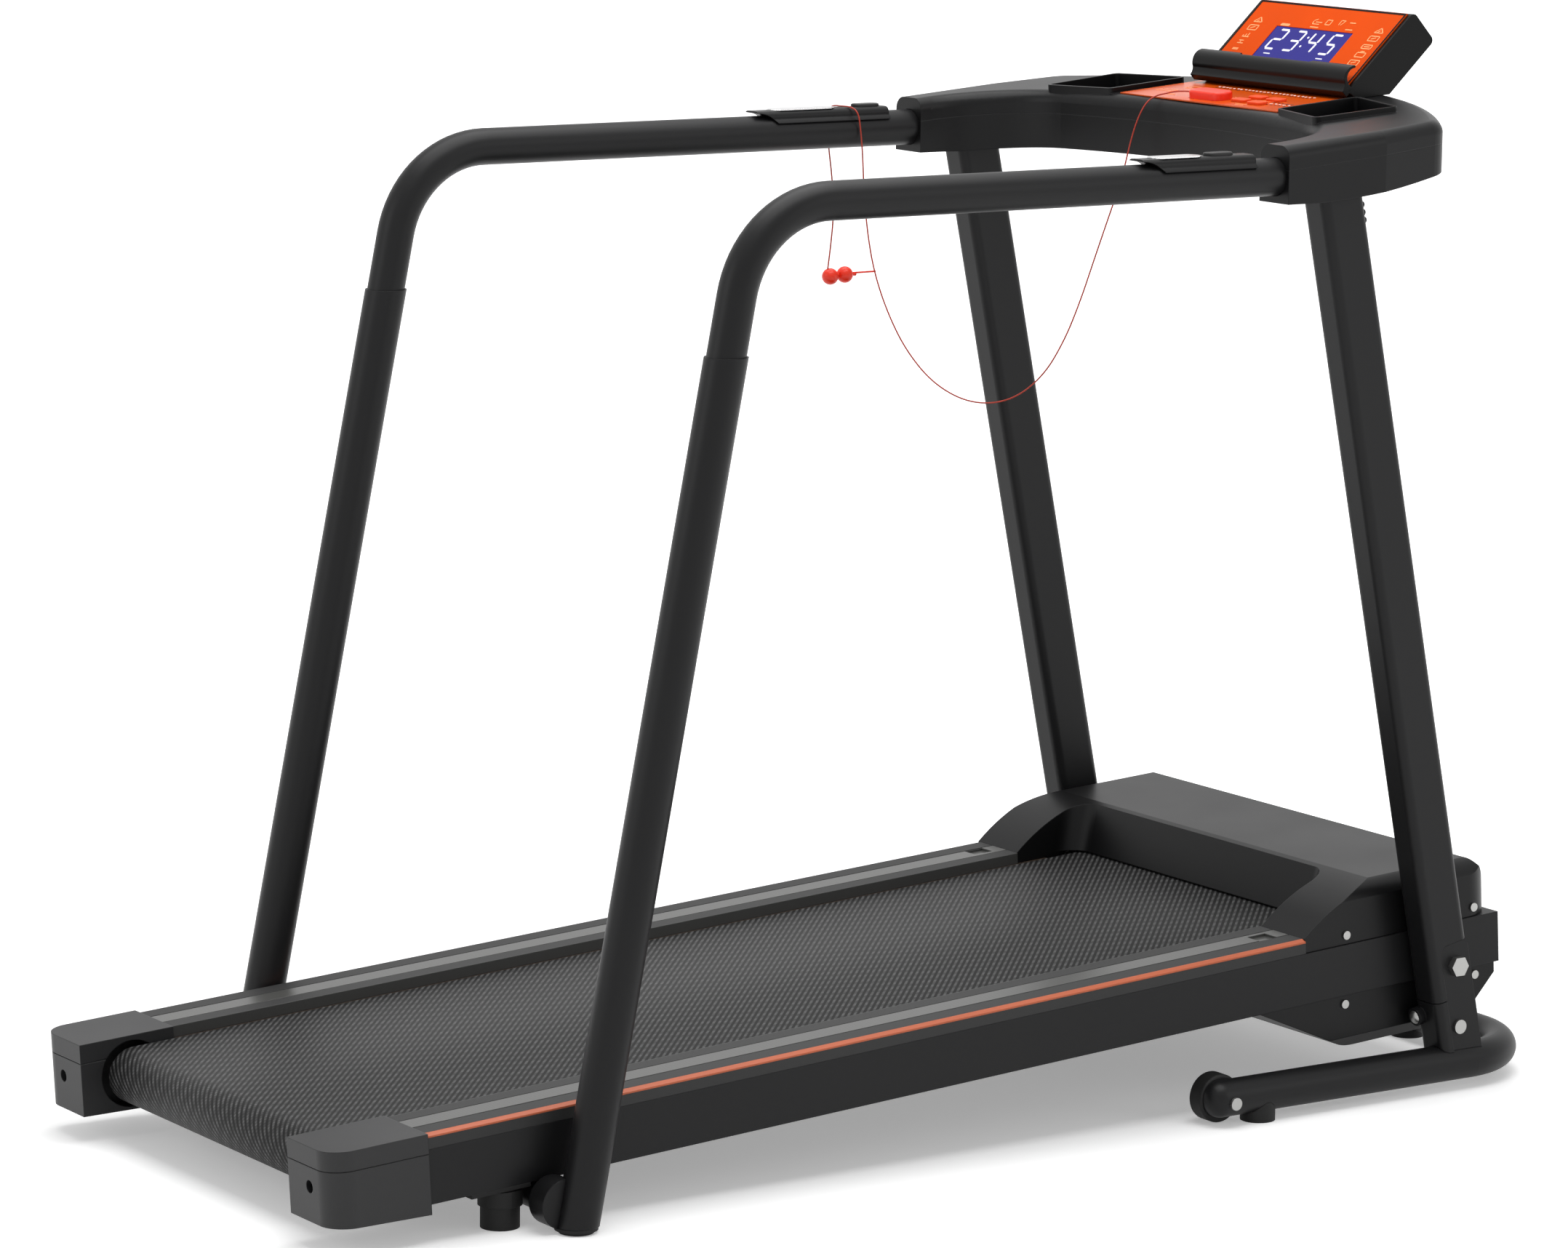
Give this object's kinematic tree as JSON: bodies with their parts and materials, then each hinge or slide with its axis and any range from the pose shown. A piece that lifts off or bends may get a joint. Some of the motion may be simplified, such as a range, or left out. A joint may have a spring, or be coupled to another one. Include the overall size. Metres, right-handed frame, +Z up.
{
  "type": "treadmill",
  "caption": "Walking treadmill with a folding belt deck, full-length handrails on rear posts, a wide tray console and a small tilted display.",
  "frame": {"origin": "on the floor, at the middle of the footprint", "axes": "+X to the walker's right, +Y forward to the console, +Z up; the deck is down, every key is out and every roller is at rest"},
  "size_m": [0.6892, 1.4539, 1.1007],
  "materials": {
    "frame_black": "satin black powder coat",
    "shell_black": "fine moulded texture",
    "panel_orange": "gloss, pale line print",
    "display": "smooth window over a lit blue panel",
    "key_rubber": "matte",
    "safety_red": "gloss moulded",
    "cord": "braided",
    "rubber": "matte",
    "belt": "fine diagonal woven pattern",
    "rail": "extruded, striped",
    "trim_orange": "satin extruded",
    "board": "coated fibreboard",
    "steel": "zinc plated",
    "motor_paint": "satin",
    "flywheel_iron": "turned",
    "controller_case": "folded sheet",
    "circuit_board": "solder mask",
    "inlet_black": "moulded"
  },
  "bodies": {
    "frame": {"base_tube": "frame_black", "base_brackets": "frame_black", "upright_left": "frame_black", "upright_right": "frame_black", "post_left": "frame_black", "post_right": "frame_black", "post_cross_tube": "frame_black", "handrail_left": "frame_black", "handrail_right": "frame_black", "rubber_feet": "rubber", "pivot_bolts": "steel", "frame_bolts": "steel", "cable_clip": "shell_black", "console_lower": "shell_black", "console_upper": "shell_black", "control_panel": "panel_orange", "console_board": "circuit_board", "monitor_shell": "shell_black", "monitor_fascia": "panel_orange", "display_window": "display", "tablet_ledge": "shell_black", "grip_pad_left": "shell_black", "grip_pad_right": "shell_black", "pulse_plates": "steel", "safety_cord": "cord", "cord_clip": "safety_red"},
    "deck": {"side_tube_left": "frame_black", "side_tube_right": "frame_black", "cross_members": "frame_black", "deck_board": "board", "running_belt": "belt", "foot_rail_left": "rail", "foot_rail_right": "rail", "trim_strips": "trim_orange", "rear_cap_left": "shell_black", "rear_cap_right": "shell_black", "deck_feet": "rubber", "cap_bolts": "steel", "hood": "shell_black", "belly_pan": "shell_black", "cover_screws": "steel", "roller_shafts": "steel", "motor": "motor_paint", "drive_belt": "rubber", "motor_controller": "controller_case", "power_inlet": "inlet_black"},
    "front_roller": {"front_roller": "steel"},
    "rear_roller": {"rear_roller": "steel"},
    "flywheel": {"flywheel": "flywheel_iron"},
    "power_switch": {"power_switch": "safety_red"},
    "wheel_left": {"wheel_left": "rubber"},
    "wheel_right": {"wheel_right": "rubber"},
    "lock_pin": {"lock_pin": "steel"},
    "key_start": {"key_start": "key_rubber"},
    "key_stop": {"key_stop": "key_rubber"},
    "key_faster": {"key_faster": "key_rubber"},
    "key_slower": {"key_slower": "key_rubber"},
    "safety_key": {"safety_key": "safety_red"},
    "grip_key_left": {"grip_key_left": "key_rubber"},
    "grip_key_right": {"grip_key_right": "key_rubber"}
  },
  "joints": [
    {"name": "deck_fold", "type": "hinge", "parent": "frame", "child": "deck", "pos_m": [0, 0.5888, 0.133], "axis": [-1, 0, 0], "range_deg": [0, 66]},
    {"name": "wheel_left_spin", "type": "hinge", "parent": "frame", "child": "wheel_left", "pos_m": [-0.3, 0.297, 0.0256], "axis": [1, 0, 0], "continuous": true},
    {"name": "wheel_right_spin", "type": "hinge", "parent": "frame", "child": "wheel_right", "pos_m": [0.3, 0.297, 0.0256], "axis": [1, 0, 0], "continuous": true},
    {"name": "front_roller_spin", "type": "hinge", "parent": "deck", "child": "front_roller", "pos_m": [0, 0.50504, 0.13923], "axis": [1, 0, 0], "continuous": true},
    {"name": "rear_roller_spin", "type": "hinge", "parent": "deck", "child": "rear_roller", "pos_m": [0, -0.66802, 0.06505], "axis": [1, 0, 0], "continuous": true},
    {"name": "motor_spin", "type": "hinge", "parent": "deck", "child": "flywheel", "pos_m": [-0.15, 0.58162, 0.16411], "axis": [1, 0, 0], "continuous": true},
    {"name": "power_switch_rock", "type": "hinge", "parent": "deck", "child": "power_switch", "pos_m": [-0.11, 0.66779, 0.14832], "axis": [1, 0, 0], "range_deg": [-10, 10]},
    {"name": "lock_pin_slide", "type": "slide", "parent": "frame", "child": "lock_pin", "axis": [1, 0, 0], "range_m": [0, 0.0034]},
    {"name": "key_start_press", "type": "slide", "parent": "frame", "child": "key_start", "axis": [0, 0.0844, -0.9964], "range_m": [0, 0.001], "stiffness_N_per_m": 800, "springref_m": -0.0005},
    {"name": "key_stop_press", "type": "slide", "parent": "frame", "child": "key_stop", "axis": [0, 0.0844, -0.9964], "range_m": [0, 0.001], "stiffness_N_per_m": 800, "springref_m": -0.0005},
    {"name": "key_faster_press", "type": "slide", "parent": "frame", "child": "key_faster", "axis": [0, 0.0844, -0.9964], "range_m": [0, 0.001], "stiffness_N_per_m": 800, "springref_m": -0.0005},
    {"name": "key_slower_press", "type": "slide", "parent": "frame", "child": "key_slower", "axis": [0, 0.0844, -0.9964], "range_m": [0, 0.001], "stiffness_N_per_m": 800, "springref_m": -0.0005},
    {"name": "safety_key_pull", "type": "slide", "parent": "frame", "child": "safety_key", "axis": [0, -0.0844, 0.9964], "range_m": [0, 0.03], "deforming": ["safety_cord"]},
    {"name": "grip_key_left_press", "type": "slide", "parent": "frame", "child": "grip_key_left", "axis": [0, 0, -1], "range_m": [0, 0.0012], "stiffness_N_per_m": 800, "springref_m": -0.0005},
    {"name": "grip_key_right_press", "type": "slide", "parent": "frame", "child": "grip_key_right", "axis": [0, 0, -1], "range_m": [0, 0.0012], "stiffness_N_per_m": 800, "springref_m": -0.0005}
  ],
  "couplings": [
    {"joint": "motor_spin", "follows": "front_roller_spin", "ratio": 2.2222},
    {"joint": "rear_roller_spin", "follows": "front_roller_spin", "ratio": 1}
  ]
}
